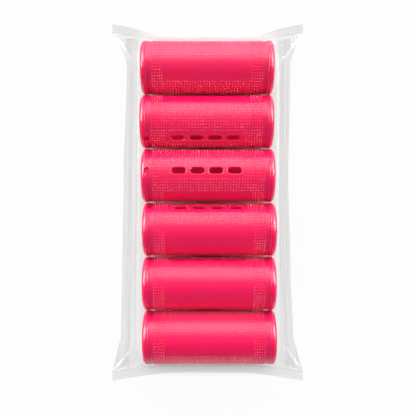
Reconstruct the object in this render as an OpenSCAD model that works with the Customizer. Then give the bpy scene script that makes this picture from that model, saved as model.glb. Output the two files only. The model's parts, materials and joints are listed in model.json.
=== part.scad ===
// A flat-lying film pack of six plastic hair rollers.
// +X runs along the rollers, +Y along the stack, +Z up from the face that the pack rests on.
// The origin is under the middle of the pack, on that face.

/* [Rollers] */
// Outer diameter of a roller, over its end rings
roller_d = 25; // [22:0.5:28]
// Length of a roller over both end rings
roller_len = 61; // [54:0.5:66]
// Gap between neighbouring rollers
roller_gap = 0.2; // [0.1:0.05:0.6]
// Wall of the barrel
barrel_wall = 1.2; // [0.9:0.1:1.8]
// How far the barrel's bare surface lies below the end rings
barrel_drop = 0.35; // [0.2:0.05:0.8]

/* [End rings] */
// Width of the ring that shows at each end
ring_w = 3.1; // [2.6:0.1:3.8]
// Radius of the rounded outer corner of a ring
ring_corner = 1.2; // [0.6:0.1:1.4]
// Depth of the groove round a ring
groove_depth = 0.2; // [0.1:0.05:0.4]
// Width of the groove round a ring
groove_w = 0.5; // [0.3:0.1:0.7]
// Width of the lip beside the barrel
lip_w = 0.6; // [0.4:0.1:0.7]
// Length of the spigot inside the barrel
spigot_len = 3; // [2:0.5:6]
// Wall of the spigot
spigot_wall = 0.8; // [0.6:0.1:1.2]
// Clearance between a spigot and the barrel's bore
spigot_clear = 0.02; // [0.01:0.01:0.05]

/* [Vent slots and pin hole] */
// Number of vent slots in the row
slot_count = 4; // [2:1:5]
// Length of a slot, end to end
slot_len = 6.4; // [4:0.2:7.4]
// Width of a slot
slot_w = 3; // [2:0.2:3.6]
// Distance from one slot to the next
slot_pitch = 8.4; // [8:0.2:10]
// How far the row is shifted towards the pin hole
slot_shift = 0.6; // [0:0.1:1.5]
// Diameter of the pin hole
pin_hole_d = 2.75; // [2:0.25:3]
// Distance of the pin hole's centre from the roller's end
pin_hole_inset = 2.9; // [2.6:0.1:3.4]
// Depth of the blind pin hole
pin_hole_depth = 1.9; // [1.4:0.1:2.2]

/* [Film bag] */
// Thickness of the film
film_t = 0.2; // [0.1:0.05:0.3]
// Clearance between the film and the rollers
film_clear = 0.25; // [0.2:0.05:0.5]
// Room between a centred roller's end and the film's bend
side_room = 1.1; // [1:0.1:2]
// How far the side folds stand out past the rollers' ends
fold_out = 8; // [6:0.5:10]
// Width of the lapped back seal
back_seal_w = 12; // [8:1:16]

/* [End seals] */
// Length of an end seal across the bag
end_seal_len = 89.6; // [84:0.4:96]
// Width of the crimped band
end_seal_w = 4; // [3:0.5:6]
// How far the seal's corners stand out past its straight middle
corner_out = 3.5; // [2:0.5:5]
// Length of the seal's straight middle
straight_len = 44; // [36:1:50]
// Number of crimp ribs on each face
rib_count = 4; // [3:1:5]
// Width of a crimp rib
rib_w = 0.4; // [0.3:0.1:0.5]
// Height of a crimp rib
rib_h = 0.12; // [0.06:0.02:0.2]

/* [Hidden] */
roller_count = 6;
// Direction of each roller's slot row, in degrees from +Z towards +Y
roller_turn = [-120, -46, 8, 60, 75, -112];
// Each roller's small shift along +X, in millimetres
roller_shift = [-0.2, -0.4, 0.2, 0.8, 0.7, 0.8];

roller_r = roller_d / 2;
half_len = roller_len / 2;
barrel_r = roller_r - barrel_drop;
bore_r = barrel_r - barrel_wall;
spigot_r = bore_r - spigot_clear;
ring_bore_r = spigot_r - spigot_wall;
barrel_half = half_len - ring_w;

// The rollers clear the back film where it steps over the lapped seal.
axis_z = 2 * film_t + film_clear + roller_r;
pitch = roller_d + roller_gap;
first_y = pitch * (roller_count - 1) / 2;

bend_x = half_len + side_room;
apex_x = half_len + fold_out;
// The fold's inner apex lies inside its outer one by the film's slanted thickness.
fold_slant = atan2(apex_x - bend_x, axis_z);
apex_film = film_t / cos(fold_slant);

// The end seals meet the film at the height of the rollers' axes.
seal_y = first_y + axis_z;
seal_half = end_seal_len / 2;
straight_half = straight_len / 2;
seal_t = 2 * film_t;

film_colour = [0.86, 0.88, 0.90, 0.45];
seal_colour = [0.80, 0.82, 0.84, 0.75];

// Places a roller's piece, modelled along X with its slots facing +Z, at its seat in the stack.
module at_seat(n) {
    translate([roller_shift[n - 1], first_y - pitch * (n - 1), axis_z])
        rotate([-roller_turn[n - 1], 0, 0])
            children();
}

module along_x(length) {
    translate([-length / 2, 0, 0])
        rotate([0, 90, 0])
            children();
}

// One round-ended slot, cut from the axis out through the upper wall.
module slot_cut() {
    straight = slot_len - slot_w;
    for (side = [-1, 1])
        translate([side * straight / 2, 0, 0])
            cylinder(d = slot_w, h = 2 * roller_r, $fn = 32);
    translate([-straight / 2, -slot_w / 2, 0])
        cube([straight, slot_w, 2 * roller_r]);
}

module slot_row() {
    for (i = [0:slot_count - 1])
        translate([(i - (slot_count - 1) / 2) * slot_pitch - slot_shift, 0, 0])
            slot_cut();
}

// The blind pin hole is sunk into the left ring and goes through the edge of the barrel.
module pin_hole() {
    translate([-half_len + pin_hole_inset, 0, roller_r - pin_hole_depth])
        cylinder(d = pin_hole_d, h = 2 * pin_hole_depth, $fn = 48);
}

module barrel(n) {
    length = 2 * barrel_half;
    color([0.93, 0.20, 0.40])
        at_seat(n)
            difference() {
                along_x(length) cylinder(r = barrel_r, h = length, $fn = 96);
                along_x(length + 2) cylinder(r = bore_r, h = length + 2, $fn = 96);
                slot_row();
                pin_hole();
            }
}

// Half outline of a ring: the first number is the radius, the second the distance in from the end.
function ring_outline() =
    let (
        corner = [for (a = [0:15:90])
            [roller_r - ring_corner * (1 - sin(a)), ring_corner * (1 - cos(a))]],
        groove_end = ring_w - lip_w,
        groove_start = groove_end - groove_w
    )
    concat(
        [[ring_bore_r, 0]],
        corner,
        [
            [roller_r, groove_start],
            [roller_r - groove_depth, groove_start + groove_w / 2],
            [roller_r, groove_end],
            [roller_r, ring_w - lip_w / 3],
            [barrel_r, ring_w],
            [spigot_r, ring_w],
            [spigot_r, ring_w + spigot_len],
            [ring_bore_r, ring_w + spigot_len]
        ]
    );

// A ring on the left end; its width runs along +X.
module ring_solid() {
    translate([-half_len, 0, 0])
        rotate([0, 90, 0])
            rotate_extrude($fn = 96)
                polygon(ring_outline());
}

module left_ring(n) {
    color([0.95, 0.26, 0.46])
        at_seat(n)
            difference() {
                ring_solid();
                pin_hole();
            }
}

module right_ring(n) {
    color([0.95, 0.26, 0.46])
        at_seat(n)
            mirror([1, 0, 0])
                ring_solid();
}

// Runs an X-Z outline along Y, over the straight part of the bag.
module film_run() {
    translate([0, first_y, 0])
        rotate([90, 0, 0])
            linear_extrude(height = 2 * first_y)
                children();
}

// An outline's points on the other side of the middle, in the order that carries it on.
function mirrored(points) = [for (i = [len(points) - 1:-1:0]) [-points[i].x, points[i].y]];

module front_film() {
    color(film_colour)
        film_run()
            translate([-bend_x, 2 * axis_z - film_t])
                square([2 * bend_x, film_t]);
}

// The back film lies flat, and steps up over the lapped seal that runs down its middle.
module back_film() {
    step_x = back_seal_w / 2 + film_clear;
    under = [[bend_x, 0], [step_x, 0], [step_x, film_t]];
    over = [[step_x + film_t, 2 * film_t], [step_x + film_t, film_t], [bend_x, film_t]];
    color(film_colour)
        film_run()
            polygon(concat(under, mirrored(under), mirrored(over), over));
}

module back_seal() {
    color(seal_colour)
        film_run()
            translate([-back_seal_w / 2, 0])
                square([back_seal_w, film_t]);
}

// The side fold is a V that opens towards the rollers' ends.
module fold_outline() {
    polygon([
        [bend_x, 0],
        [apex_x, axis_z],
        [bend_x, 2 * axis_z],
        [bend_x, 2 * axis_z - film_t],
        [apex_x - apex_film, axis_z],
        [bend_x, film_t]
    ]);
}

module right_fold() {
    color(film_colour) film_run() fold_outline();
}

module left_fold() {
    color(film_colour) film_run() mirror([1, 0]) fold_outline();
}

// The half of a round rod along X that lies past the last roller's axis.
module half_round(radius, from, to) {
    translate([from, first_y, axis_z])
        rotate([0, 90, 0])
            linear_extrude(height = to - from)
                intersection() {
                    circle(r = radius, $fn = 64);
                    translate([-radius, 0])
                        square([2 * radius, radius]);
                }
}

// Half of a shoulder's form, from the end roller and the side fold out to the end of the seal.
// Its two sharp ends are small blocks: at the fold's apex, and at the seal's inner corner.
module shoulder_form(radius, apex, corner, block) {
    half_round(radius, -block, straight_half + block);
    hull() {
        half_round(radius, straight_half, bend_x);
        translate([apex - block, first_y, axis_z - block / 2])
            cube(block);
        translate([corner.x - block, corner.y - block, axis_z - block / 2])
            cube(block);
    }
}

module shoulder() {
    // The corner's block ends on the slanted inner edge of the seal.
    seal_slope = corner_out / (seal_half - straight_half);
    corner = [seal_half, seal_y + corner_out - seal_t * seal_slope];
    inner_corner = corner - 2 * seal_t * [1, 1];
    difference() {
        for (side = [0, 1])
            mirror([side, 0, 0])
                shoulder_form(axis_z, apex_x, corner, seal_t);
        for (side = [0, 1])
            mirror([side, 0, 0])
                shoulder_form(axis_z - film_t, apex_x - apex_film, inner_corner, film_t);
    }
}

module top_shoulder() {
    color(film_colour) shoulder();
}

module bottom_shoulder() {
    color(film_colour) mirror([0, 1, 0]) shoulder();
}

// A strip of the end seal, between two distances out from its inner edge.
module seal_strip(from, to) {
    polygon([
        [-seal_half, seal_y + corner_out + from],
        [-straight_half, seal_y + from],
        [straight_half, seal_y + from],
        [seal_half, seal_y + corner_out + from],
        [seal_half, seal_y + corner_out + to],
        [straight_half, seal_y + to],
        [-straight_half, seal_y + to],
        [-seal_half, seal_y + corner_out + to]
    ]);
}

// Two layers of film welded flat, with crimp ribs on both faces.
module end_seal() {
    rib_pitch = end_seal_w / rib_count;
    translate([0, 0, axis_z - seal_t / 2])
        linear_extrude(height = seal_t)
            seal_strip(0, end_seal_w);
    translate([0, 0, axis_z - seal_t / 2 - rib_h])
        linear_extrude(height = seal_t + 2 * rib_h)
            for (i = [0:rib_count - 1])
                let (middle = (i + 0.5) * rib_pitch)
                    seal_strip(middle - rib_w / 2, middle + rib_w / 2);
}

module top_seal() {
    color(seal_colour) end_seal();
}

module bottom_seal() {
    color(seal_colour) mirror([0, 1, 0]) end_seal();
}

for (n = [1:roller_count]) {
    barrel(n);
    left_ring(n);
    right_ring(n);
}
front_film();
back_film();
back_seal();
left_fold();
right_fold();
top_shoulder();
bottom_shoulder();
top_seal();
bottom_seal();
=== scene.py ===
"""A film pack of six plastic hair rollers: its finished surfaces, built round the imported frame."""

import json
import math

import bmesh
import bpy
from mathutils import Matrix, Vector, noise


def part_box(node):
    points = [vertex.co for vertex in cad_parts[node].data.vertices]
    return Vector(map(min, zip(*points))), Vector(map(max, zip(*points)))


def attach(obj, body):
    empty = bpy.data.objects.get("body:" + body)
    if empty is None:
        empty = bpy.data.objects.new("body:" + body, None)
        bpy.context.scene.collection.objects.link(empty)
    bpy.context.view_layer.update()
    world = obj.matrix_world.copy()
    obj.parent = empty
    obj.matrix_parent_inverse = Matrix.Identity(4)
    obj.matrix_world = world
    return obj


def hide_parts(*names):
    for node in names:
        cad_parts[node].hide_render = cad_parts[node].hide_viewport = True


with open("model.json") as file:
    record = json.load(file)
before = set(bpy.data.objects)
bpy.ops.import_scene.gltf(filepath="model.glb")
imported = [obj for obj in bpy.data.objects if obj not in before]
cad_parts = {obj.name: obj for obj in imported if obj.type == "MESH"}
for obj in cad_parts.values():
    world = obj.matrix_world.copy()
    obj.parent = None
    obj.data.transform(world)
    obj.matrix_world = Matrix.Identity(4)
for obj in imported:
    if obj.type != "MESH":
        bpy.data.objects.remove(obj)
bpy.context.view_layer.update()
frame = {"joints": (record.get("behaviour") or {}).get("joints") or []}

MM = 0.001
# Points nearer than these are one point: in one piece, along a seam, and where film meets film.
CLOSE = 1e-7
SEAM_WELD = 1e-6
FILM_WELD = 2e-6

# Rollers, in metres.
ROLLERS = range(1, 7)
ROLLER_TURN = (-120, -46, 8, 60, 75, -112)  # slot row's direction, degrees from +Z towards +Y
SIDES = ("left", "right")

barrel_low, barrel_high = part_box("roller_1_barrel")
ring_low, ring_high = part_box("roller_1_left_ring")
BARREL_R = (barrel_high.z - barrel_low.z) / 2
BARREL_HALF = (barrel_high.x - barrel_low.x) / 2
RING_R = (ring_high.z - ring_low.z) / 2
RING_W = barrel_low.x - ring_low.x
ROLLER_HALF = BARREL_HALF + RING_W
BARREL_WALL = 1.2 * MM
SPIGOT_CLEAR = 0.02 * MM
SPIGOT_WALL = 0.8 * MM
SPIGOT_LEN = 3 * MM
SPIGOT_R = BARREL_R - BARREL_WALL - SPIGOT_CLEAR
RING_BORE_R = SPIGOT_R - SPIGOT_WALL
RING_CORNER = 1.85 * MM
RING_CHAMFER = 0.3 * MM
RING_LIP_W = 0.55 * MM
RING_STEPS = 96
AXIS_Z = (ring_low.z + ring_high.z) / 2

# Pips stand in columns along the roller and in rows round it.
ROWS = 56
ROW = 2 * math.pi * BARREL_R / ROWS
FIRST_LINE = (0.5 - ROWS / 2) * ROW
LAST_LINE = FIRST_LINE + ROWS * ROW
PIP_R = 0.37 * MM
FIELD_PIP_H = 0.3 * MM
BAND_PIP_H = 0.36 * MM
PIP_CELL_RIM = 0.12 * MM
# A pip rises in two tiers, each between two angles on its rounded side, in degrees.
PIP_TIERS = ((0, 32), (32, 62))
# The two windows round the barrel that have no pips, in degrees from the slot row.
BARE_WINDOWS = ((50, 150), (-130, -78))

# Vent slots and pin hole.
SLOTS = 4
SLOT_PITCH = 8.4 * MM
FIRST_SLOT = -13.2 * MM
FIELD_PITCH = SLOT_PITCH / 6.5
SLOT_CELL = 3.25 * FIELD_PITCH
SLOT_HALF_W = 1.5 * MM
SLOT_STRAIGHT = 1.7 * MM
SLOT_RIM = 0.34 * MM
PIN_HOLE_R = 1.375 * MM
PIN_HOLE_INSET = 2.9 * MM
PIN_HOLE_DEPTH = 1.9 * MM
PIN_HOLE_STEPS = 40

# Runs of pip columns: how many, where the run starts and ends along the roller, and its pips' height.
SLOTS_FROM = FIRST_SLOT - 3.5 * FIELD_PITCH
SLOTS_TO = FIRST_SLOT + 22.5 * FIELD_PITCH
COLUMN_RUNS = (
    (5, -25.5 * MM, -20 * MM, BAND_PIP_H),
    (2, -20 * MM, SLOTS_FROM, FIELD_PIP_H),
    (26, SLOTS_FROM, SLOTS_TO, FIELD_PIP_H),
    (3, SLOTS_TO, 19.8 * MM, FIELD_PIP_H),
    (5, 19.8 * MM, 25.5 * MM, BAND_PIP_H),
)

# Film bag. It is flat between its bends, and its ears are the end seals' corners.
BEND_X = 31.6 * MM
EAR_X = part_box("top_seal")[1].x
EAR_OUT = 3.5 * MM
RISE_FROM = 20 * MM  # the end seals run straight this far from the middle, then rise to the ears
FILM_H = 13.0 * MM
STRAIGHT_HALF = 63 * MM
END_REACH = 13.15 * MM
SHOULDER = 20.4 * MM
FLAT_COLUMNS, SIDE_COLUMNS = 45, 24
FLAT_ROWS, SHOULDER_ROWS = 126, 34
SEAL_Y = STRAIGHT_HALF + END_REACH
EAR_Y = SEAL_Y + EAR_OUT
SEAL_W = 3.9 * MM
SEAL_T = 0.1 * MM
SEAL_RIBS = 4
RIB_H = 0.22 * MM
# How far the film stands off its plain shape: its rounded sides, pleats, gathers and fine ripples.
SIDE_BULGE = 1.2 * MM
PLEAT_H = 0.5 * MM
GATHER_H = 0.5 * MM
RIPPLE_H = 0.05 * MM
# The side edges in plan: (y, distance from the middle) in millimetres.
RIGHT_EDGE = ((-63, 40.0), (-31, 38.8), (11, 37.8), (63, 38.6))
LEFT_EDGE = ((-63, 40.6), (-31, 40.0), (11, 39.3), (63, 37.9))
# Corner creases: which ear, (x, y) where it ends, width and height in millimetres.
CREASES = (
    (-1, 1, -30.5, 74.5, 2.0, 1.4),
    (-1, 1, -31.5, 61, 2.6, 1.2),
    (1, 1, 30.5, 74.5, 2.0, 1.2),
    (1, 1, 26, 70.5, 1.2, 0.8),
    (1, 1, 31.5, 61, 2.6, 1.2),
    (-1, -1, -30.5, -75, 1.8, 1.3),
    (-1, -1, -34, -66, 2.8, 1.6),
    (-1, -1, -26, -75.5, 1.0, 0.6),
    (1, -1, 30.5, -75, 1.8, 1.2),
    (1, -1, 35, -65, 2.8, 1.4),
    (1, -1, 26, -75.5, 1.0, 0.6),
)


# Moulded plastic: its two tones, and a pale colour mixed a little into its pips' tips as a painted
# highlight.
PLASTIC_PINK = (0.86, 0.004, 0.11)
PLASTIC_DEEP = (0.82, 0.002, 0.095)
PIP_HIGHLIGHT_TINT = (1.0, 0.25, 0.42)
PIP_HIGHLIGHT_SHARE = 0.1
BARREL_ROUGH = 0.22
RING_ROUGH = 0.17

# Floor and camera.
FLOOR_DROP = 0.2 * MM
FLOOR_TUCK = 3 * MM  # how far inside the bag's bend the floor starts to turn white
FLOOR_CLEARS = 7 * MM  # over how far it turns white beside the pack
FLOOR_END_PACE = 0.65  # how fast it does so beyond the ends, as a share of that
CAMERA_PLACE = (0.14 * MM, -2.6 * MM, 284.15 * MM)

# The room's light: towards the horizon and overhead, and the broad glow beyond the pack's upper end.
ROOM_LIGHT = 0.8
OVERHEAD_LIGHT = 0.28
GLOW_LIGHT = 2.2
GLOW_TOWARDS = (0, 0.96, 0.28)
# Area lights: name, place and two sizes in metres, power in watts, and whether it shapes or shines.
LIGHTS = (
    ("key", (0, 2.2, 1.25), 2.2, 1.5, 51, True),
    ("fill", (0, -2.2, 1.0), 2.0, 1.2, 15, True),
    ("left_fill", (-1.9, 0, 0.9), 0.5, 2.4, 14, True),
    ("right_fill", (1.9, 0.2, 0.9), 0.5, 2.4, 11, True),
    ("left_sheen", (-1.7, 0.9, 1.35), 2.0, 1.6, 130, False),
    ("right_sheen", (1.7, 0.9, 1.35), 2.0, 1.6, 115, False),
)


# ---------------------------------------------------------------- meshes


def finish_piece(name, source, body, material, replaced, sharp=40):
    """A finished piece from a bmesh or a mesh, riding on its body."""
    if isinstance(source, bmesh.types.BMesh):
        mesh = bpy.data.meshes.new(name)
        source.to_mesh(mesh)
        source.free()
    else:
        mesh = source
        mesh.name = name
    mesh.shade_smooth()
    mesh.set_sharp_from_angle(angle=math.radians(sharp))
    mesh.materials.clear()
    mesh.materials.append(material)
    piece = bpy.data.objects.new(name, mesh)
    bpy.context.scene.collection.objects.link(piece)
    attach(piece, body)
    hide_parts(*replaced)
    return piece


def spread(low, high, count):
    """Evenly spaced lines from low to high."""
    return [low + (high - low) * i / count for i in range(count + 1)]


def lined_grid(x_lines, y_lines):
    """A flat grid in the XY plane whose rows and columns lie on the given lines."""
    bm = bmesh.new()
    nx, ny = len(x_lines) - 1, len(y_lines) - 1
    bmesh.ops.create_grid(bm, x_segments=nx, y_segments=ny, size=0.5)
    for v in bm.verts:
        i, j = round((v.co.x + 0.5) * nx), round((v.co.y + 0.5) * ny)
        v.co = (x_lines[i], y_lines[j], 0)
    return bm


def cut_with(mesh, cutter):
    """The mesh with the cutter's shape taken out of it."""
    body = bpy.data.objects.new("cut_body", mesh)
    tool = bpy.data.objects.new("cut_tool", cutter)
    for o in (body, tool):
        bpy.context.scene.collection.objects.link(o)
    cut = body.modifiers.new("cut", "BOOLEAN")
    cut.operation = "DIFFERENCE"
    cut.solver = "EXACT"
    cut.object = tool
    graph = bpy.context.evaluated_depsgraph_get()
    result = bpy.data.meshes.new_from_object(body.evaluated_get(graph))
    for o in (body, tool):
        bpy.data.objects.remove(o)
    return result


# ---------------------------------------------------------------- rollers


def pip_columns():
    """The middle of each pip column along the roller, with the height of its pips."""
    return [
        (low + (high - low) * (i + 0.5) / count, height)
        for count, low, high, height in COLUMN_RUNS
        for i in range(count)
    ]


def barrel_lines():
    """The grid's lines along the barrel: the edges of the pip columns, and the barrel's ends."""
    lines = [-BARREL_HALF]
    for count, low, high, _ in COLUMN_RUNS:
        lines += spread(low, high, count)[:-1]
    return lines + [COLUMN_RUNS[-1][2], BARREL_HALF]


def slot_centres():
    """Where the slots' middles lie along the roller."""
    return [FIRST_SLOT + i * SLOT_PITCH for i in range(SLOTS)]


def off_slot(place, centre):
    """The nearest place on a slot's centreline, as a distance along the sheet, and the way out of it."""
    along = centre + max(-SLOT_STRAIGHT, min(SLOT_STRAIGHT, place.x - centre))
    return along, Vector((place.x - along, place.y))


def push_face_in(bm, face, centre, rim):
    """Extrudes a slot's cell face inwards, onto the slot's outline widened by rim."""
    face = bmesh.ops.extrude_discrete_faces(bm, faces=[face])["faces"][0]
    for v in face.verts:
        along, out = off_slot(v.co, centre)
        out = out.normalized() * (SLOT_HALF_W + rim)
        v.co = (along + out.x, out.y, 0)
    return face


def split_sides(faces):
    """Splits every side of the faces once, in a fixed order, without cutting the faces round them."""
    for edge in dict.fromkeys(e for f in faces for e in f.edges):
        bmesh.utils.edge_split(edge, edge.verts[0], 0.5)


def cut_slots(bm):
    """Opens the slots in the flat sheet, each with loops of faces that follow its outline."""
    cells = {}
    for centre in slot_centres():
        inside = [
            f
            for f in bm.faces
            if abs(f.calc_center_median().y) < 1.5 * ROW
            and abs(f.calc_center_median().x - centre) < SLOT_CELL
        ]
        cells[centre] = bmesh.ops.dissolve_faces(bm, faces=inside)["region"][0]
    split_sides(cells.values())
    for centre, face in cells.items():
        face = push_face_in(bm, face, centre, SLOT_RIM)
        face = push_face_in(bm, face, centre, 0)
        bmesh.ops.delete(bm, geom=[face], context="FACES_ONLY")


def on_slot_rim(edge):
    """True for an edge of a slot's outline on the sheet's outer face."""
    centre = min(slot_centres(), key=lambda c: abs(edge.verts[0].co.x - c))
    reach = [off_slot(v.co, centre)[1].length for v in edge.verts]
    return all(abs(v.co.z) < CLOSE for v in edge.verts) and max(reach) < SLOT_HALF_W + CLOSE


def thicken(bm):
    """Gives the flat sheet the barrel's wall, and rounds the slots' outer rims."""
    made = bmesh.ops.extrude_face_region(bm, geom=bm.faces[:], use_keep_orig=True)["geom"]
    moved = [g for g in made if isinstance(g, bmesh.types.BMVert)]
    bmesh.ops.translate(bm, verts=moved, vec=(0, 0, -BARREL_WALL))
    edges = (FIRST_LINE + CLOSE, LAST_LINE - CLOSE)
    seam = [f for f in bm.faces if not any(edges[0] < v.co.y < edges[1] for v in f.verts)]
    bmesh.ops.delete(bm, geom=seam, context="FACES")
    bmesh.ops.recalc_face_normals(bm, faces=bm.faces[:])
    rims = [e for e in bm.edges if on_slot_rim(e)]
    bmesh.ops.bevel(
        bm,
        geom=rims,
        offset=SLOT_RIM * 0.9,
        segments=4,
        profile=0.5,
        affect="EDGES",
        material=-1,
    )


def has_field_pips(degrees):
    """True where the barrel's middle carries pips, at an angle from the slot row."""
    return not any(low < degrees < high for low, high in BARE_WINDOWS)


def pip_cells(bm):
    """The patterned cells on the sheet's outer face, by the height of the pip that each one holds."""
    bm.normal_update()
    cells = {BAND_PIP_H: [], FIELD_PIP_H: []}
    columns = pip_columns()
    for face in bm.faces:
        middle = face.calc_center_median()
        x, height = min(columns, key=lambda c: abs(c[0] - middle.x))
        flat = len(face.verts) == 4 and face.normal.z > 0.9 and abs(middle.z) < CLOSE
        row = round(middle.y / ROW)
        centred = abs(x - middle.x) < 0.1 * MM and abs(row * ROW - middle.y) < 0.1 * MM
        if flat and centred and (height == BAND_PIP_H or has_field_pips(row * 360 / ROWS)):
            cells[height].append(face)
    return cells


def raise_pips(bm):
    """Raises a small blunt pip from each patterned cell of the sheet, and marks its tip for a painted
    highlight.
    """
    pip_highlight_layer = bm.verts.layers.float.new("pip")
    for height, faces in pip_cells(bm).items():
        bmesh.ops.inset_individual(bm, faces=faces, thickness=PIP_CELL_RIM, use_even_offset=True)
        split_sides(faces)
        for face in faces:
            middle = face.calc_center_bounds()
            for v in face.verts:
                v.co = middle + (v.co - middle).normalized() * PIP_R
        for low, high in PIP_TIERS:
            inwards = PIP_R * (math.cos(math.radians(low)) - math.cos(math.radians(high)))
            upwards = height * (math.sin(math.radians(high)) - math.sin(math.radians(low)))
            bmesh.ops.inset_individual(bm, faces=faces, thickness=inwards, depth=upwards)
        for v in {v for face in faces for v in face.verts}:
            v[pip_highlight_layer] = 1


def map_sheet(bm):
    """Lays the flat sheet's two faces side by side on the map that its finish is kept on."""
    layer = bm.loops.layers.uv.new("OFBake")
    scale = 0.98 / (2 * math.pi * BARREL_R)
    for face in bm.faces:
        outer = face.calc_center_median().z > -BARREL_WALL * 0.9
        for loop in face.loops:
            along = (loop.vert.co.x + BARREL_HALF) * 0.62 * scale
            loop[layer].uv = (along + (0.01 if outer else 0.51), 0.5 + loop.vert.co.y * scale)


def wrap(bm):
    """Rolls the flat sheet up into the barrel, with the slot row facing +Z, and closes its seam."""
    for v in bm.verts:
        angle = v.co.y / BARREL_R
        radius = BARREL_R + v.co.z
        v.co = (v.co.x, -radius * math.sin(angle), radius * math.cos(angle))
    bmesh.ops.remove_doubles(bm, verts=bm.verts[:], dist=SEAM_WELD)
    bmesh.ops.recalc_face_normals(bm, faces=bm.faces[:])


def spun(outline, steps, loop=True):
    """An outline of (distance along X, radius) turned round the X axis; a loop is joined end to end."""
    bm = bmesh.new()
    points = [bm.verts.new((x, 0, r)) for x, r in outline]
    follow = points[1:] + points[:1] if loop else points[1:]
    edges = [bm.edges.new(pair) for pair in zip(points, follow)]
    bmesh.ops.spin(
        bm,
        geom=points + edges,
        cent=(0, 0, 0),
        axis=(1, 0, 0),
        angle=2 * math.pi,
        steps=steps,
        use_merge=True,
    )
    bmesh.ops.remove_doubles(bm, verts=bm.verts[:], dist=CLOSE)
    bmesh.ops.recalc_face_normals(bm, faces=bm.faces[:])
    return bm


def pin_hole_cutter():
    """A round cutter with a flared mouth, for the blind pin hole in the upper wall."""
    floor, mouth, top = RING_R - PIN_HOLE_DEPTH, RING_R - 0.25 * MM, RING_R + 0.6 * MM
    outline = [
        (floor, 0),
        (floor, PIN_HOLE_R),
        (mouth, PIN_HOLE_R),
        (RING_R, PIN_HOLE_R + 0.12 * MM),
        (top, PIN_HOLE_R + 0.8 * MM),
        (top, 0),
    ]
    bm = spun(outline, PIN_HOLE_STEPS, loop=False)
    bmesh.ops.rotate(bm, verts=bm.verts[:], matrix=Matrix.Rotation(math.radians(-90), 3, "Y"))
    bmesh.ops.translate(bm, verts=bm.verts[:], vec=(-ROLLER_HALF + PIN_HOLE_INSET, 0, 0))
    bmesh.ops.recalc_face_normals(bm, faces=bm.faces[:])
    cutter = bpy.data.meshes.new("pin_hole_cutter")
    bm.to_mesh(cutter)
    bm.free()
    return cutter


def barrel_mesh():
    """One barrel about the X axis, its slot row facing +Z."""
    bm = lined_grid(barrel_lines(), spread(FIRST_LINE, LAST_LINE, ROWS))
    cut_slots(bm)
    thicken(bm)
    raise_pips(bm)
    map_sheet(bm)
    wrap(bm)
    mesh = bpy.data.meshes.new("barrel")
    bm.to_mesh(mesh)
    bm.free()
    return cut_with(mesh, pin_hole_cutter())


def ring_mesh(with_hole):
    """The left end ring: a rounded band, a groove and a lip beside the barrel, on a spigot."""
    end, seat = -ROLLER_HALF, -BARREL_HALF
    corner = RING_CORNER
    curve = [
        (end + corner * (1 - math.cos(t)), RING_R - corner * (1 - math.sin(t)))
        for t in (math.radians(a) for a in range(0, 91, 10))
    ]
    lip = seat - RING_LIP_W
    outline = [
        (end + RING_CHAMFER, RING_BORE_R),
        (end + 0.08 * MM, RING_BORE_R + 0.08 * MM),
        (end, RING_BORE_R + RING_CHAMFER),
        *curve,
        (lip - 0.55 * MM, RING_R),
        (lip - 0.45 * MM, RING_R - 0.05 * MM),
        (lip - 0.35 * MM, RING_R - 0.22 * MM),
        (lip - 0.15 * MM, RING_R - 0.26 * MM),
        (lip, RING_R - 0.1 * MM),
        (lip + 0.12 * MM, RING_R - 0.03 * MM),
        (seat - 0.2 * MM, RING_R - 0.04 * MM),
        (seat - 0.02 * MM, RING_R - 0.22 * MM),
        (seat - 0.02 * MM, SPIGOT_R),
        (seat + SPIGOT_LEN, SPIGOT_R),
        (seat + SPIGOT_LEN, RING_BORE_R),
    ]
    bm = spun(outline, RING_STEPS)
    mesh = bpy.data.meshes.new("ring")
    bm.to_mesh(mesh)
    bm.free()
    return cut_with(mesh, pin_hole_cutter()) if with_hole else mesh


def seat_of(number):
    """Where a roller's mesh goes: its turn about X, then its place in the stack."""
    joint = next(j for j in frame["joints"] if j["child"] == f"roller_{number}")
    turn = Matrix.Rotation(-math.radians(ROLLER_TURN[number - 1]), 4, "X")
    return Matrix.Translation(joint["pos_m"]) @ turn


def seated(mesh, number, mirrored=False):
    """A copy of a mesh in its roller's place, turned end for end if mirrored."""
    copy = mesh.copy()
    place = seat_of(number)
    if mirrored:
        place = place @ Matrix.Rotation(math.pi, 4, "Z")
    copy.transform(place)
    return copy


def make_rollers(barrel_plastic, ring_plastic):
    """The six rollers: each a barrel with a ring at either end, the left one with the pin hole."""
    barrel = barrel_mesh()
    left, right = ring_mesh(True), ring_mesh(False)
    for n in ROLLERS:
        body = f"roller_{n}"
        tube = seated(barrel, n)
        finish_piece(f"{body}_tube", tube, body, barrel_plastic, [f"{body}_barrel"])
        for side, mesh in zip(SIDES, (left, right)):
            collar = seated(mesh, n, mirrored=side == "right")
            replaced = [f"{body}_{side}_ring"]
            finish_piece(f"{body}_{side}_collar", collar, body, ring_plastic, replaced)


# ---------------------------------------------------------------- film bag


def smooth(low, high, value):
    """0 below low, 1 above high, and an even S between them."""
    t = max(0.0, min(1.0, (value - low) / (high - low)))
    return t * t * (3 - 2 * t)


def through(points, y):
    """A smooth run through (y, value) points listed in rising y."""
    if y <= points[0][0]:
        return points[0][1]
    for (y0, v0), (y1, v1) in zip(points, points[1:]):
        if y <= y1:
            return v0 + (v1 - v0) * smooth(y0, y1, y)
    return points[-1][1]


def seal_rise(a):
    """How much further out the end seals lie at a place across the bag: most at the ears."""
    return EAR_OUT * max(0, (abs(a) - RISE_FROM) / (EAR_X - RISE_FROM)) ** 1.2


def film_columns():
    """Column lines across the bag: evenly between the bends, then out to each ear."""
    side = spread(BEND_X, EAR_X, SIDE_COLUMNS)[1:]
    return [-a for a in reversed(side)] + spread(-BEND_X, BEND_X, FLAT_COLUMNS) + side


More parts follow.
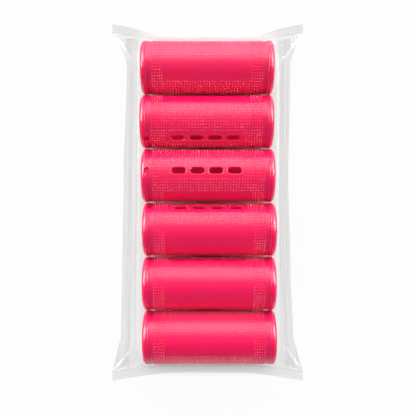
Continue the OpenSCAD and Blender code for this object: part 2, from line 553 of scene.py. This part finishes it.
def film_rows():
    """Row lines along the bag: straight between the end rollers, then over each shoulder."""
    shoulder = spread(STRAIGHT_HALF, STRAIGHT_HALF + SHOULDER, SHOULDER_ROWS)[1:]
    straight = spread(-STRAIGHT_HALF, STRAIGHT_HALF, FLAT_ROWS)
    return [-b for b in reversed(shoulder)] + straight + shoulder


def crease_at(x, y):
    """The corner creases at a place in plan: how far they lift the film, and how near a crest is."""
    lift = crest = 0.0
    for ear_x, ear_y, to_x, to_y, width, height in CREASES:
        start = Vector((ear_x * EAR_X, ear_y * EAR_Y))
        run = Vector((to_x * MM, to_y * MM)) - start
        away = Vector((x, y)) - start
        along = away.dot(run) / run.length_squared
        aside = abs(away.cross(run)) / run.length
        if 0 < along < 1:
            fade = math.sin(math.pi * along) ** 0.6
            lift += height * MM * fade * max(0, 1 - aside / (width * MM))
            crest = max(crest, fade * max(0, 1 - aside / (width * 0.32 * MM)))
    return lift, crest


def pleats(q, y, side):
    """The lengthwise folds in the bag's side: how far they lift the film, and how near a crest is."""
    drift = 0.2 * noise.noise((side * 3.1, y * 26, 0.5)) + 0.05 * noise.noise((side, y * 120, 2.5))
    phase = (q * 2.7 + 0.35 * side + drift) % 1
    wave = 1 - 2 * abs(phase * 2 - 1)
    swell = 0.75 + 0.6 * noise.noise((side * 7.7, y * 40, 4.5))
    fade = math.sin(math.pi * min(1, q * 1.05)) ** 0.5
    return PLEAT_H * wave * swell * fade, smooth(0.72, 1, wave) * smooth(0.5, 1.1, swell) * fade


def film_point(a, b, face):
    """Where a point of the flat film lies on the filled bag, how near a crest is, and how far its
    haziness and painted shade dim it.

    a and b are its place across and along the flat film; face is 1 for the front and -1 for the back.
    q goes from 0 at the bend to 1 at the side edge, and t from 0 at the shoulder to 1 at the seal.
    """
    side = 1 if a > 0 else -1
    end = 1 if b > 0 else -1
    q = max(0.0, (abs(a) - BEND_X) / (EAR_X - BEND_X))
    t = max(0.0, (abs(b) - STRAIGHT_HALF) / SHOULDER)
    straight = min(STRAIGHT_HALF, abs(b)) * end
    apex = through(RIGHT_EDGE if side > 0 else LEFT_EDGE, straight / MM) * MM
    apex += (EAR_X - apex) * t ** (2 if end > 0 else 1.2)
    arc = math.pi / 2 * t
    x = min(abs(a), BEND_X) + q * (apex - BEND_X)
    y = abs(straight) + END_REACH * ((1 - q) * math.sin(arc) + q * t) + seal_rise(a) * t * t
    h = FILM_H * (1 - q) * math.cos(arc)
    h += SIDE_BULGE * math.sin(math.pi * q) * (1 - t)
    crest = 0.0
    if q > 0:
        lift, crest = pleats(q, (y + 5 * MM * face) * end, side)
        fade = 1 - smooth(0, 0.8, t)
        slope = math.atan2(FILM_H, apex - BEND_X)
        x += lift * fade * math.sin(slope)
        h += lift * fade * math.cos(slope)
        crest *= fade
    place = Vector((side * x, end * y, 0))
    if t > 0:
        gather = 0.5 + 0.5 * noise.noise((a * 260, end * 3.3, face * 1.7))
        h += GATHER_H * gather * math.sin(math.pi * min(1, t)) * smooth(0.3, 1, t)
        lift, corner_crest = crease_at(place.x, place.y)
        fade = min(1, 5 * (1 - t)) * min(1, 6 * t)
        h += lift * fade
        crest = max(crest, corner_crest)
    h += RIPPLE_H * (0.5 + 0.5 * noise.noise((place.x * 90, place.y * 60, face * 5)))
    if q >= 1 or t >= 1:
        h = 0
    place.z = AXIS_Z + face * min(h, FILM_H)
    return place, crest, haze_and_shade_at(q, t, place, face) * (1 - crest)


def haze_and_shade_at(q, t, place, face):
    """How far the gathered film is dimmed: partly its own haziness, partly painted shade; most along a
    lengthwise fold in each side, and at the corners.
    """
    drift = 0.07 * noise.noise((place.y * 18, place.x * 3, 1.5))
    # The folds and corners are darker: partly the film's haziness, partly painted shade.
    fold = 1 - smooth(0.03, 0.12, abs(q - 0.55 + 0.11 * face + drift))
    second = 1 - smooth(0.02, 0.1, abs(q - 0.9 + drift))
    patch = 0.12 * noise.noise((place.x * 700, place.y * 28, 8.5))
    side = smooth(0, 0.08, q) * (0.32 + 0.45 * fold + 0.1 * second + patch)
    return side + 0.22 * smooth(0.15, 0.6, t) * smooth(0, 0.3, q) + 0.2 * smooth(0.3, 1, t) * (1 - q)


def make_bag(film):
    """The clear film round the six rollers: front and back sheets that meet at the sides and ends."""
    bm = lined_grid(film_columns(), film_rows())
    layer = bm.loops.layers.uv.new("OFBake")
    # Besides the shape, the crest mask places the film's painted highlight on its creases.
    crest_layer = bm.verts.layers.float.new("crest")
    haze_and_shade_layer = bm.verts.layers.float.new("haze_and_shade")
    made = bmesh.ops.duplicate(bm, geom=bm.faces[:])["geom"]
    back = {g for g in made if isinstance(g, bmesh.types.BMFace)}
    for quad in bm.faces:
        middle = 0.74 if quad in back else 0.24
        for loop in quad.loops:
            loop[layer].uv = (middle + loop.vert.co.x * 5.2, 0.5 + loop.vert.co.y * 5.6)
    behind = {v for quad in back for v in quad.verts}
    for v in bm.verts:
        face = -1 if v in behind else 1
        v.co, v[crest_layer], v[haze_and_shade_layer] = film_point(v.co.x, v.co.y, face)
    bmesh.ops.remove_doubles(bm, verts=bm.verts[:], dist=FILM_WELD)
    bmesh.ops.recalc_face_normals(bm, faces=bm.faces[:])
    sheets = ["front_film", "back_film"]
    folds = ["left_fold", "right_fold", "top_shoulder", "bottom_shoulder"]
    finish_piece("film_bag", bm, "bag", film, sheets + folds, sharp=180)


def rib(across):
    """The crimped ribs of a seal, 0 in a valley to 1 on a crest, for a place from 0 to 1 across it."""
    return (0.5 - 0.5 * math.cos(2 * math.pi * across * SEAL_RIBS)) ** 1.5


def seal_tip(a, end):
    """How far an end seal tips over, away from the front, at a place along it."""
    if end < 0:
        return math.radians(14) * (1 - smooth(8 * MM, 34 * MM, abs(a)))
    return math.radians(50) * (1 - smooth(20 * MM, 41 * MM, abs(a)))


def make_end_seal(name, end, film):
    """A crimped band across one end of the bag."""
    bm = lined_grid(spread(-EAR_X, EAR_X, 150), spread(0, SEAL_W, 40))
    crest_layer = bm.verts.layers.float.new("crest")
    # The ribs' crests also carry the seal's painted highlight.
    for v in bm.verts:
        v[crest_layer] = rib(v.co.y / SEAL_W) * smooth(0, 0.1, v.co.y / SEAL_W)
    made = bmesh.ops.extrude_face_region(bm, geom=bm.faces[:], use_keep_orig=True)["geom"]
    lower = {g for g in made if isinstance(g, bmesh.types.BMVert)}
    for v in bm.verts:
        a, w = v.co.x, v.co.y
        wave = 0.35 * MM * noise.noise((a * 55, end * 9, w * 60)) * smooth(0, SEAL_W, w)
        lift = RIB_H * v[crest_layer] + wave - (SEAL_T if v in lower else 0)
        tip = seal_tip(a, end)
        out = SEAL_Y + seal_rise(a) + w * math.cos(tip) + lift * math.sin(tip)
        edge = EAR_X - 0.25 * MM * (0.5 + 0.5 * noise.noise((w * 900, end, 0)))
        up = AXIS_Z - w * math.sin(tip) + lift * math.cos(tip)
        v.co = (max(-edge, min(edge, a)), end * out, up)
    bmesh.ops.recalc_face_normals(bm, faces=bm.faces[:])
    finish_piece(f"{name}_band", bm, "bag", film, [name])


def make_back_seal(film):
    """The lengthwise seal, folded flat against the back of the bag."""
    low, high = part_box("back_seal")
    bm = lined_grid(spread(low.x, high.x, 60), spread(low.y, high.y, 160))
    crest_layer = bm.verts.layers.float.new("crest")
    # The ribs' crests also carry the seal's painted highlight.
    for v in bm.verts:
        across = (v.co.x - low.x) / (high.x - low.x)
        v[crest_layer] = rib(across * 1.6) * (1 - smooth(0.5, 0.62, across))
    made = bmesh.ops.extrude_face_region(bm, geom=bm.faces[:], use_keep_orig=True)["geom"]
    upper = {g for g in made if isinstance(g, bmesh.types.BMVert)}
    for v in bm.verts:
        ripple = 0.02 * MM * noise.noise((v.co.x * 80, v.co.y * 40, 1))
        lift = 0.03 * MM if v in upper else 0
        v.co.z = (high.z + low.z) / 2 - 0.04 * MM * v[crest_layer] + ripple + lift
    bmesh.ops.recalc_face_normals(bm, faces=bm.faces[:])
    finish_piece("back_seal_strip", bm, "bag", film, ["back_seal"])


# ---------------------------------------------------------------- materials


def new_material(name):
    """An empty node material, with its tree and its output node."""
    material = bpy.data.materials.new(name)
    material.use_nodes = True
    tree = material.node_tree
    tree.nodes.clear()
    output = tree.nodes.new("ShaderNodeOutputMaterial")
    return material, tree, output


def add(tree, kind, **values):
    """A node, with its properties by name and its inputs by socket name or index."""
    node = tree.nodes.new(kind)
    inputs = values.pop("inputs", {})
    for key, value in values.items():
        setattr(node, key, value)
    for key, value in inputs.items():
        if isinstance(value, bpy.types.NodeSocket):
            tree.links.new(value, node.inputs[key])
        else:
            node.inputs[key].default_value = value
    return node


def moulded_grain():
    """Node group: the faint cloudiness and grain of moulded plastic."""
    group = bpy.data.node_groups.new("moulded_grain", "ShaderNodeTree")
    for name in ("Cloud", "Grain"):
        group.interface.new_socket(name=name, in_out="OUTPUT", socket_type="NodeSocketFloat")
    group.interface.new_socket(name="Normal", in_out="OUTPUT", socket_type="NodeSocketVector")
    place = add(group, "ShaderNodeTexCoord").outputs["Object"]
    cloud = add(group, "ShaderNodeTexNoise", inputs={"Vector": place, "Scale": 90.0, "Detail": 3.0})
    grain = add(group, "ShaderNodeTexNoise", inputs={"Vector": place, "Scale": 1400.0, "Detail": 4.0})
    height = add(
        group,
        "ShaderNodeMath",
        operation="MULTIPLY_ADD",
        inputs={0: cloud.outputs["Fac"], 1: 3.0, 2: grain.outputs["Fac"]},
    )
    bump = add(
        group,
        "ShaderNodeBump",
        inputs={"Strength": 0.25, "Distance": 0.00006, "Height": height.outputs[0]},
    )
    output = add(group, "NodeGroupOutput")
    group.links.new(cloud.outputs["Fac"], output.inputs["Cloud"])
    group.links.new(grain.outputs["Fac"], output.inputs["Grain"])
    group.links.new(bump.outputs["Normal"], output.inputs["Normal"])
    return group


def plastic(name, colour, deep, rough, grain):
    """Translucent moulded plastic: red light spreads in it further than the rest, and its pips' tips
    carry a painted highlight.
    """
    material, tree, output = new_material(name)
    finish = add(tree, "ShaderNodeGroup", node_tree=grain)
    tone = add(
        tree,
        "ShaderNodeMix",
        data_type="RGBA",
        inputs={0: finish.outputs["Cloud"], 6: (*deep, 1), 7: (*colour, 1)},
    )
    # The pips' tips are mixed a little towards a pale colour: a painted highlight.
    tip = add(tree, "ShaderNodeAttribute", attribute_name="pip").outputs["Fac"]
    painted_pip_highlight = add(tree, "ShaderNodeMath", operation="MULTIPLY", inputs={0: tip, 1: PIP_HIGHLIGHT_SHARE})
    skin = add(
        tree,
        "ShaderNodeMix",
        data_type="RGBA",
        inputs={0: painted_pip_highlight.outputs[0], 6: tone.outputs[2], 7: (*PIP_HIGHLIGHT_TINT, 1)},
    )
    gloss = add(
        tree,
        "ShaderNodeMapRange",
        inputs={"Value": finish.outputs["Grain"], "To Min": rough - 0.05, "To Max": rough + 0.07},
    )
    shader = add(
        tree,
        "ShaderNodeBsdfPrincipled",
        inputs={
            "Base Color": skin.outputs[2],
            "Roughness": gloss.outputs[0],
            "IOR": 1.6,
            "Subsurface Weight": 0.7,
            "Subsurface Radius": (1.0, 0.06, 0.15),
            "Subsurface Scale": 0.003,
            "Normal": finish.outputs["Normal"],
        },
    )
    tree.links.new(shader.outputs[0], output.inputs["Surface"])
    return material


def film_ripple():
    """Node group: the stretch ripples and fine crinkle of the film, a very fine sheet."""
    group = bpy.data.node_groups.new("film_ripple", "ShaderNodeTree")
    group.interface.new_socket(name="Crinkle", in_out="OUTPUT", socket_type="NodeSocketFloat")
    group.interface.new_socket(name="Normal", in_out="OUTPUT", socket_type="NodeSocketVector")
    place = add(group, "ShaderNodeTexCoord").outputs["Object"]
    drawn = add(group, "ShaderNodeMapping", inputs={"Vector": place, "Scale": (1.0, 0.15, 1.0)})
    ripple = add(
        group,
        "ShaderNodeTexNoise",
        inputs={"Vector": drawn.outputs[0], "Scale": 300.0, "Detail": 2.0, "Distortion": 0.4},
    )
    crinkle = add(
        group,
        "ShaderNodeTexNoise",
        inputs={"Vector": place, "Scale": 900.0, "Detail": 3.0},
    )
    height = add(
        group,
        "ShaderNodeMath",
        operation="MULTIPLY_ADD",
        inputs={0: ripple.outputs["Fac"], 1: 4.0, 2: crinkle.outputs["Fac"]},
    )
    bump = add(
        group,
        "ShaderNodeBump",
        inputs={"Strength": 0.3, "Distance": 0.00008, "Height": height.outputs[0]},
    )
    output = add(group, "NodeGroupOutput")
    group.links.new(crinkle.outputs["Fac"], output.inputs["Crinkle"])
    group.links.new(bump.outputs["Normal"], output.inputs["Normal"])
    return group


def clear_film(name, ripple, clear, edge, rough, mirror, milky, crease_highlight):
    """Clear film: it dims what is behind it a little, most at a slant, and has a painted highlight of
    white along its creases.

    clear and edge are the shares of light that it lets through, face on and where it slants or where its
    haziness and painted shade lie.
    mirror is the share that its skin sends back face on, milky how much of that skin is white and not
    a mirror, and the last argument how much more of the skin shows on a crease, where it turns white: a
    painted highlight.
    """
    material, tree, output = new_material(name)
    finish = add(tree, "ShaderNodeGroup", node_tree=ripple)
    normal = finish.outputs["Normal"]
    slant = add(tree, "ShaderNodeLayerWeight", inputs={"Blend": 0.5, "Normal": normal}).outputs["Facing"]
    steep = add(tree, "ShaderNodeMath", operation="POWER", inputs={0: slant, 1: 5.0})
    # This mask dims the film: partly its haziness, partly painted shade in its folds and corners.
    haze_and_shade = add(tree, "ShaderNodeAttribute", attribute_name="haze_and_shade").outputs["Fac"]
    crest = add(tree, "ShaderNodeAttribute", attribute_name="crest").outputs["Fac"]
    dim = add(tree, "ShaderNodeMath", operation="MAXIMUM", inputs={0: slant, 1: haze_and_shade})
    tint = add(
        tree,
        "ShaderNodeMix",
        data_type="RGBA",
        inputs={0: dim.outputs[0], 6: (clear, clear, clear, 1), 7: (edge, edge, edge, 1)},
    )
    through_it = add(tree, "ShaderNodeBsdfTransparent", inputs={"Color": tint.outputs[2]})
    gloss = add(
        tree,
        "ShaderNodeMapRange",
        inputs={"Value": finish.outputs["Crinkle"], "To Min": rough * 0.7, "To Max": rough * 1.5},
    )
    # On a crease the skin turns from a mirror to white: a painted highlight along the film's creases and
    # the seals' ribs.
    shine = add(
        tree,
        "ShaderNodeMapRange",
        inputs={"Value": crest, "To Min": 1 - milky, "To Max": 0.0},
    )
    skin = add(
        tree,
        "ShaderNodeBsdfPrincipled",
        inputs={
            "Base Color": (0.95, 0.95, 0.95, 1),
            "Metallic": shine.outputs[0],
            "Roughness": gloss.outputs[0],
            "Normal": normal,
        },
    )
    bare = add(
        tree,
        "ShaderNodeMapRange",
        inputs={"Value": steep.outputs[0], "To Min": mirror, "To Max": 0.9},
    )
    # A crease shows more of that white skin: painted highlight.
    share = add(
        tree,
        "ShaderNodeMath",
        operation="MULTIPLY_ADD",
        use_clamp=True,
        inputs={0: crest, 1: crease_highlight, 2: bare.outputs[0]},
    )
    both = add(
        tree,
        "ShaderNodeMixShader",
        inputs={0: share.outputs[0], 1: through_it.outputs[0], 2: skin.outputs[0]},
    )
    tree.links.new(both.outputs[0], output.inputs["Surface"])
    return material


# ---------------------------------------------------------------- stage


def make_floor():
    """A pale floor just under the pack, which turns white a little way out from it."""
    bm = bmesh.new()
    bmesh.ops.create_grid(bm, x_segments=1, y_segments=1, size=3)
    bmesh.ops.translate(bm, verts=bm.verts[:], vec=(0, 0, -FLOOR_DROP))
    mesh = bpy.data.meshes.new("floor")
    bm.to_mesh(mesh)
    bm.free()
    floor = bpy.data.objects.new("floor", mesh)
    bpy.context.scene.collection.objects.link(floor)
    material, tree, output = new_material("pale_floor")
    paper = add(tree, "ShaderNodeBsdfDiffuse", inputs={"Color": (0.9, 0.9, 0.9, 1)})
    white = add(tree, "ShaderNodeEmission", inputs={"Color": (0.98, 0.98, 0.98, 1)})
    place = add(tree, "ShaderNodeTexCoord").outputs["Object"]
    size = add(tree, "ShaderNodeVectorMath", operation="ABSOLUTE", inputs={0: place}).outputs[0]
    beyond = add(
        tree,
        "ShaderNodeVectorMath",
        operation="SUBTRACT",
        inputs={0: size, 1: (BEND_X - FLOOR_TUCK, SEAL_Y, 0)},
    )
    # The floor turns white sooner beside the pack than beyond its ends, where its shadow lies.
    apart = add(
        tree,
        "ShaderNodeVectorMath",
        operation="MULTIPLY",
        inputs={0: beyond.outputs[0], 1: (1, FLOOR_END_PACE, 0)},
    )
    each = add(tree, "ShaderNodeSeparateXYZ", inputs={0: apart.outputs[0]})
    away = add(
        tree,
        "ShaderNodeMath",
        operation="MAXIMUM",
        inputs={0: each.outputs[0], 1: each.outputs[1]},
    )
    clear_of = add(
        tree,
        "ShaderNodeMapRange",
        interpolation_type="SMOOTHSTEP",
        inputs={"Value": away.outputs[0], "From Max": FLOOR_CLEARS, "To Max": 0.97},
    )
    ray = add(tree, "ShaderNodeLightPath")
    seen = add(
        tree,
        "ShaderNodeMath",
        operation="MULTIPLY_ADD",
        inputs={0: ray.outputs["Is Glossy Ray"], 1: 0.5, 2: ray.outputs["Is Camera Ray"]},
    )
    seen_or_sent = add(
        tree,
        "ShaderNodeMath",
        operation="ADD",
        inputs={0: seen.outputs[0], 1: ray.outputs["Is Transmission Ray"]},
    )
    share = add(
        tree,
        "ShaderNodeMath",
        operation="MULTIPLY",
        use_clamp=True,
        inputs={0: seen_or_sent.outputs[0], 1: clear_of.outputs[0]},
    )
    both = add(
        tree,
        "ShaderNodeMixShader",
        inputs={0: share.outputs[0], 1: paper.outputs[0], 2: white.outputs[0]},
    )
    tree.links.new(both.outputs[0], output.inputs["Surface"])
    mesh.materials.append(material)


def area_light(name, place, size_x, size_y, power, shaped):
    """A rectangular light that faces the pack's middle, and either shapes it or shines in its gloss."""
    data = bpy.data.lights.new(name, "AREA")
    data.shape = "RECTANGLE"
    data.size = size_x
    data.size_y = size_y
    data.energy = power
    light = bpy.data.objects.new(name, data)
    light.location = place
    light.rotation_euler = (-Vector(place)).to_track_quat("-Z", "Y").to_euler()
    light.visible_glossy = not shaped
    light.visible_diffuse = shaped
    light.visible_transmission = shaped
    bpy.context.scene.collection.objects.link(light)


def make_world():
    """A soft grey room: darker overhead and at the pack's lower end, brightest at its upper end."""
    world = bpy.data.worlds.new("studio")
    bpy.context.scene.world = world
    world.use_nodes = True
    tree = world.node_tree
    tree.nodes.clear()
    out = add(tree, "ShaderNodeOutputWorld")
    way = add(tree, "ShaderNodeTexCoord").outputs["Generated"]
    parts = add(tree, "ShaderNodeSeparateXYZ", inputs={0: way})
    room = add(
        tree,
        "ShaderNodeMapRange",
        interpolation_type="SMOOTHSTEP",
        inputs={
            "Value": parts.outputs["Z"],
            "From Min": 0.55,
            "From Max": 0.95,
            "To Min": ROOM_LIGHT,
            "To Max": OVERHEAD_LIGHT,
        },
    )
    towards = add(
        tree,
        "ShaderNodeMapRange",
        interpolation_type="SMOOTHSTEP",
        inputs={"Value": parts.outputs["Y"], "From Min": -0.75, "From Max": 0.1, "To Min": 0.25},
    )
    shaded = add(
        tree,
        "ShaderNodeMath",
        operation="MULTIPLY",
        inputs={0: room.outputs[0], 1: towards.outputs[0]},
    )
    facing = add(
        tree,
        "ShaderNodeVectorMath",
        operation="DOT_PRODUCT",
        inputs={0: way, 1: GLOW_TOWARDS},
    )
    glow = add(
        tree,
        "ShaderNodeMapRange",
        interpolation_type="SMOOTHSTEP",
        inputs={"Value": facing.outputs["Value"], "From Min": 0.4, "To Max": GLOW_LIGHT},
    )
    total = add(
        tree,
        "ShaderNodeMath",
        operation="ADD",
        inputs={0: shaded.outputs[0], 1: glow.outputs[0]},
    )
    sky = add(
        tree,
        "ShaderNodeBackground",
        inputs={"Color": (1, 1, 1, 1), "Strength": total.outputs[0]},
    )
    tree.links.new(sky.outputs[0], out.inputs["Surface"])


def make_camera():
    """The camera looks straight down on the pack."""
    data = bpy.data.cameras.new("camera")
    data.lens = 50
    data.sensor_width = 36
    camera = bpy.data.objects.new("camera", data)
    camera.location = CAMERA_PLACE
    bpy.context.scene.collection.objects.link(camera)
    bpy.context.scene.camera = camera


# ---------------------------------------------------------------- build

bpy.context.scene.view_settings.view_transform = "Standard"
make_camera()
make_world()
make_floor()
for light in LIGHTS:
    area_light(*light)

grain = moulded_grain()
ripple = film_ripple()
barrel_plastic = plastic("barrel_plastic", PLASTIC_PINK, PLASTIC_DEEP, BARREL_ROUGH, grain)
ring_plastic = plastic("ring_plastic", PLASTIC_PINK, PLASTIC_DEEP, RING_ROUGH, grain)
film = clear_film(
    "clear_film", ripple, clear=0.985, edge=0.8, rough=0.08, mirror=0.01, milky=0.0, crease_highlight=0.22
)
seal_film = clear_film(
    "seal_film", ripple, clear=0.9, edge=0.76, rough=0.3, mirror=0.01, milky=0.2, crease_highlight=0.05
)

make_rollers(barrel_plastic, ring_plastic)
make_bag(film)
make_end_seal("top_seal", 1, seal_film)
make_end_seal("bottom_seal", -1, seal_film)
make_back_seal(seal_film)
